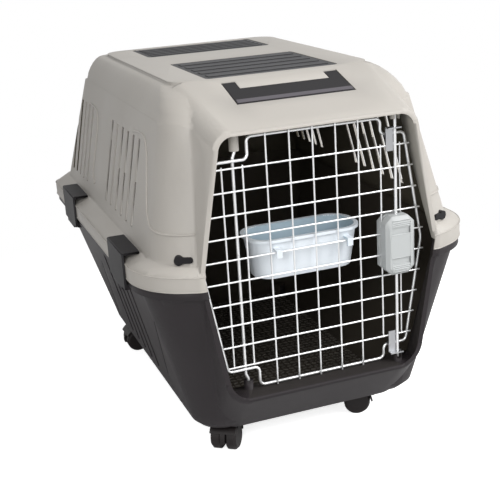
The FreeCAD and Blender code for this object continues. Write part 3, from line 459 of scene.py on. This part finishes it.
def bead_tree(name, thrown):
    """Raised bead with a round section: a smoothed line thrown sideways onto a wall, or an edge as it is."""
    kinds = {"Geometry": "Geometry", "Radius": "Float", "Sides": "Int", "Plastic": "Material"}
    if thrown:
        kinds.update({"Wall": "Object", "Inward": "Vector", "Reach": "Float", "Step": "Float"})
    tree, sockets, given = new_tree(name, kinds)
    laid = add(tree, "GeometryNodeMeshToCurve", inputs={"Mesh": given["Geometry"]})
    if thrown:
        smooth = add(tree, "GeometryNodeCurveSplineType", {"spline_type": "CATMULL_ROM"},
                     {"Curve": laid.outputs[0]})
        fine = add(tree, "GeometryNodeResampleCurve", {"mode": "LENGTH"},
                   {"Curve": smooth.outputs[0], "Length": given["Step"]})
        wall = add(tree, "GeometryNodeObjectInfo", inputs={"Object": given["Wall"]})
        throw = add(tree, "GeometryNodeRaycast", inputs={"Target Geometry": wall.outputs["Geometry"],
                                                         "Ray Direction": given["Inward"],
                                                         "Ray Length": given["Reach"]})
        lost = add(tree, "FunctionNodeBooleanMath", {"operation": "NOT"}, {0: throw.outputs["Is Hit"]})
        met = add(tree, "GeometryNodeDeleteGeometry", {"domain": "POINT"},
                  {"Geometry": fine.outputs[0], "Selection": lost.outputs[0]})
        laid = add(tree, "GeometryNodeSetPosition", inputs={"Geometry": met.outputs[0],
                                                            "Position": throw.outputs["Hit Position"]})
    ring = add(tree, "GeometryNodeCurvePrimitiveCircle", inputs={"Resolution": given["Sides"],
                                                                 "Radius": given["Radius"]})
    tube = add(tree, "GeometryNodeCurveToMesh", inputs={"Curve": laid.outputs[0],
                                                        "Profile Curve": ring.outputs["Curve"],
                                                        "Fill Caps": True})
    soft = add(tree, "GeometryNodeSetShadeSmooth", inputs={"Geometry": tube.outputs[0]})
    end_tree(tree, soft.outputs[0], given["Plastic"])
    return tree, sockets


def dash_tree():
    """Grip pattern: short raised dashes on a grid, turned one way and the other in turn."""
    tree, sockets, given = new_tree("grip_dashes", {"Columns": "Int", "Rows": "Int", "Pitch": "Float",
                                                    "Dash": "Vector", "Place": "Vector", "Turn": "Float",
                                                    "Plastic": "Material"})
    wide = add(tree, "ShaderNodeMath", {"operation": "MULTIPLY"}, {0: given["Columns"], 1: given["Pitch"]})
    long = add(tree, "ShaderNodeMath", {"operation": "MULTIPLY"}, {0: given["Rows"], 1: given["Pitch"]})
    grid = add(tree, "GeometryNodeMeshGrid", inputs={"Size X": wide.outputs[0], "Size Y": long.outputs[0],
                                                     "Vertices X": given["Columns"],
                                                     "Vertices Y": given["Rows"]})
    dash = add(tree, "GeometryNodeMeshCube", inputs={"Size": given["Dash"]})
    count = add(tree, "GeometryNodeInputIndex")
    # a dash's number leaves 0 or 1 when divided by two, and the sign made from that is -1 or 1
    odd = add(tree, "ShaderNodeMath", {"operation": "MODULO"}, {0: count.outputs[0], 1: 2.0})
    sign = add(tree, "ShaderNodeMath", {"operation": "MULTIPLY_ADD"}, {0: odd.outputs[0], 1: 2.0, 2: -1.0})
    angle = add(tree, "ShaderNodeMath", {"operation": "MULTIPLY"}, {0: sign.outputs[0], 1: given["Turn"]})
    spin = add(tree, "ShaderNodeCombineXYZ", inputs={"Z": angle.outputs[0]})
    spread = add(tree, "GeometryNodeInstanceOnPoints", inputs={"Points": grid.outputs["Mesh"],
                                                               "Instance": dash.outputs["Mesh"],
                                                               "Rotation": spin.outputs[0]})
    placed = add(tree, "GeometryNodeTransform", inputs={"Geometry": spread.outputs[0],
                                                        "Translation": given["Place"]})
    end_tree(tree, placed.outputs[0], given["Plastic"])
    return tree, sockets


def grow(name, mesh, grown, values, body):
    """A piece that a geometry tree grows from a mesh, on one body."""
    piece = new_piece(name, mesh)
    modifier = piece.modifiers.new("grown", "NODES")
    modifier.node_group, sockets = grown
    for label, value in values.items():
        modifier[sockets[label]] = value
    settle(piece)
    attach(piece, body)


def grow_beads(name, points, edges, grown, values, body):
    """Beads along lines, made by one of the bead trees."""
    mesh = bpy.data.meshes.new(name)
    mesh.from_pydata(points, edges, [])
    grow(name, mesh, grown, {"Sides": bead_sides, **values}, body)


def lay_beads(name, lines, side, wall, radius, material):
    """Beads along lines of (y, z) in metres, on one side wall of the carrier."""
    points = []
    edges = []
    for line in lines:
        start = len(points)
        points += [(side * throw_from, y, z) for y, z in line]
        edges += [(start + i, start + i + 1) for i in range(len(line) - 1)]
    values = {"Wall": wall, "Inward": (-side, 0, 0), "Reach": throw_reach, "Step": bead_step,
              "Radius": radius, "Plastic": material}
    grow_beads(name, points, edges, wall_bead, values, "base")


def round_belt(shell):
    """Rounded edges along the top and foot of the belt's upright face."""
    work = bmesh.new()
    work.from_mesh(shell.data)
    found = []
    for edge in work.edges:
        ends = [tuple(v.co) for v in edge.verts]
        level = any(all(abs(z - belt_z) < belt_level_slack for x, y, z in ends)
                    for belt_z in (belt_foot_z, belt_mid_z))
        out = [face for face in edge.link_faces if abs(face.normal.z) < belt_upright_slack
               and face.normal.dot(face.calc_center_median()) > belt_out_reach]
        if level and len(out) == 1 and len(edge.link_faces) == 2:
            found.append(ends)
    work.free()
    joined = bmesh.new()
    made = [[joined.verts.new(end) for end in ends] for ends in found]
    for ends in made:
        joined.edges.new(ends)
    bmesh.ops.remove_doubles(joined, verts=joined.verts, dist=belt_weld_gap)
    joined.verts.index_update()
    points = [tuple(v.co) for v in joined.verts]
    edges = [tuple(v.index for v in edge.verts) for edge in joined.edges]
    joined.free()
    values = {"Radius": belt_edge_radius, "Plastic": warm_grey}
    grow_beads("belt_edge_beads", points, edges, edge_bead, values, "base")


def pad_line():
    """The line round the latch's thumb pad."""
    low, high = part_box("latch_case_front")
    middle_z = (low[2] + high[2]) / 2
    turns = [math.pi * (i / pad_steps - 0.5) for i in range(pad_steps + 1)]
    outline = [(pad_near_x - pad_bulge * math.cos(turn), pad_half_height * math.sin(turn)) for turn in turns]
    outline += [(pad_far_x, pad_half_height), (pad_far_x, -pad_half_height)]
    points = [(x, low[1], middle_z + height) for x, height in outline]
    edges = [(i, (i + 1) % len(points)) for i in range(len(points))]
    values = {"Radius": pad_line_radius, "Plastic": pale_latch}
    grow_beads("latch_pad_line", points, edges, edge_bead, values, "door")


def lay_dashes():
    """The raised dashes of the cabin floor."""
    values = {"Columns": dash_columns, "Rows": dash_rows, "Pitch": dash_pitch,
              "Dash": (dash_length, dash_width, 2 * dash_height), "Place": (0, dash_middle_y, cabin_floor_z),
              "Turn": math.radians(dash_turn_degrees), "Plastic": grip_plastic}
    mesh = bpy.data.meshes.new("floor_grip_dashes")
    grow("floor_grip_dashes", mesh, dash_tree(), values, "base")


# colours of the solids
corners = [f"{end}_{side}" for end in ("front", "rear") for side in ("left", "right")]
clips = [f"side_clip_{corner}" for corner in corners]
castor_steel = [f"castor_{part}_{corner}" for part in ("axle", "stem") for corner in corners]
castor_nylon = [f"castor_{part}_{corner}" for part in ("fork", "wheel_a", "wheel_b") for corner in corners]
paint(warm_grey, "upper_shell")
paint(charcoal, "lower_shell")
paint(insert_grey, "roof_insert_front", "roof_insert_rear")
paint(dark_trim, "carry_handle", "corner_plug_left", "corner_plug_right", *clips)
paint(pale_latch, "latch_case_front", "latch_case_back", "latch_grip_upper", "latch_grip_lower")
paint(milky_bowl, "feeding_bowl")
# the bowl's inner faces get the darker blue: painted shade
paint_hollow_shade("feeding_bowl", bowl_inside_shade)
paint(bright_wire, "door_frame_wire", "door_cross_wires", "door_upright_wires", "hinge_rod",
      "latch_rod_upper", "latch_rod_lower")
paint(blackened_steel, "handle_pins", "clip_pins")
paint(plated_steel, "latch_screws", "latch_spring_upper", "latch_spring_lower",
      "rod_guide_upper", "rod_guide_lower", *castor_steel)
paint(castor_black, *castor_nylon)

# pieces finer than the solids
upper = round_shell("upper_shell", upper_cabin_shade)
lower = round_shell("lower_shell", lower_cabin_shade)
wall_bead = bead_tree("bead_on_wall", True)
edge_bead = bead_tree("bead_on_edge", False)
vent_beads = [[(y * mm, z * mm) for y, z in line] for line in (front_bead, rear_bead)]
ribs = []
for i in range(rib_count):
    middle_y = rib_first_y + rib_pitch * i
    ribs.append([(middle_y + (z - rib_middle_z) * rib_lean_share, z) for z in (rib_top_z, rib_foot_z)])
for side, label in ((-1, "left"), (1, "right")):
    lay_beads("vent_beads_" + label, vent_beads, side, upper, bead_radius, warm_grey)
    lay_beads("wall_ribs_" + label, ribs, side, lower, rib_radius, charcoal)
lay_dashes()
round_belt(upper)
for clip in clips:
    soften(clip, clip_round)
soften("latch_case_front", latch_round)
for end in ("upper", "lower"):
    squeeze_spring(end)
handle_lip()
pad_line()


def studio():
    """A white floor that keeps the object's shadow and clears into a white surround."""
    scene = bpy.context.scene
    scene.view_settings.view_transform = "Standard"
    world = bpy.data.worlds.new("studio_white")
    scene.world = world
    world.use_nodes = True
    tree = world.node_tree
    rays = add(tree, "ShaderNodeLightPath")
    seen = add(tree, "ShaderNodeMath", {"operation": "MAXIMUM"},
               {0: rays.outputs["Is Camera Ray"], 1: rays.outputs["Is Glossy Ray"]})
    level = add(tree, "ShaderNodeMapRange", inputs={"Value": seen.outputs[0], "To Min": world_strength,
                                                    "To Max": 1.0})
    tree.links.new(level.outputs["Result"], tree.nodes["Background"].inputs["Strength"])
    tree.nodes["Background"].inputs["Color"].default_value = colour("ffffff")

    mesh = bpy.data.meshes.new("studio_floor")
    square = [(x * floor_half, y * floor_half, 0) for x, y in ((-1, -1), (1, -1), (1, 1), (-1, 1))]
    mesh.from_pydata(square, [], [(0, 1, 2, 3)])
    floor = new_piece("studio_floor", mesh)
    material, tree, shader, place = new_material("studio_floor_white")
    tone = blotch(tree, place, floor_patch, "ffffff", "fdfdfd")[0]
    tree.links.new(tone, shader.inputs["Base Color"])
    shader.inputs["Roughness"].default_value = floor_roughness
    shader.inputs["Emission Color"].default_value = colour("ffffff")
    rays = add(tree, "ShaderNodeLightPath")
    glow = add(tree, "ShaderNodeMath", {"operation": "MULTIPLY"},
               {0: rays.outputs["Is Camera Ray"], 1: floor_glow})
    tree.links.new(glow.outputs[0], shader.inputs["Emission Strength"])
    far = add(tree, "ShaderNodeVectorMath", {"operation": "LENGTH"}, {0: place})
    fade = add(tree, "ShaderNodeMapRange", {"interpolation_type": "SMOOTHSTEP"},
               {"Value": far.outputs["Value"], "From Min": floor_clear_from, "From Max": floor_clear_to})
    clear = add(tree, "ShaderNodeBsdfTransparent")
    edge = add(tree, "ShaderNodeMixShader", inputs={0: fade.outputs["Result"], 1: shader.outputs[0],
                                                    2: clear.outputs[0]})
    tree.links.new(edge.outputs[0], tree.nodes["Material Output"].inputs["Surface"])
    mesh.materials.append(material)


def lamp(name, place, aim, size, power):
    """A soft square lamp."""
    data = bpy.data.lights.new(name, "AREA")
    data.shape = "SQUARE"
    data.size = size
    data.energy = power
    lamp_object = bpy.data.objects.new(name, data)
    lamp_object.location = place
    lamp_object.rotation_euler = (Vector(aim) - Vector(place)).to_track_quat("-Z", "Y").to_euler()
    bpy.context.scene.collection.objects.link(lamp_object)


def place_camera():
    """The camera, at the photograph's angle."""
    data = bpy.data.cameras.new("photo_camera")
    data.lens = camera_lens
    data.sensor_width = camera_sensor
    camera = bpy.data.objects.new("photo_camera", data)
    columns = zip((*camera_right, 0), (*camera_up, 0), (*camera_back, 0), (*camera_place, 1))
    camera.matrix_world = Matrix([list(row) for row in columns])
    bpy.context.scene.collection.objects.link(camera)
    bpy.context.scene.camera = camera


studio()
for name, (place, aim, size, power) in lamps.items():
    lamp(name, place, aim, size, power)
place_camera()
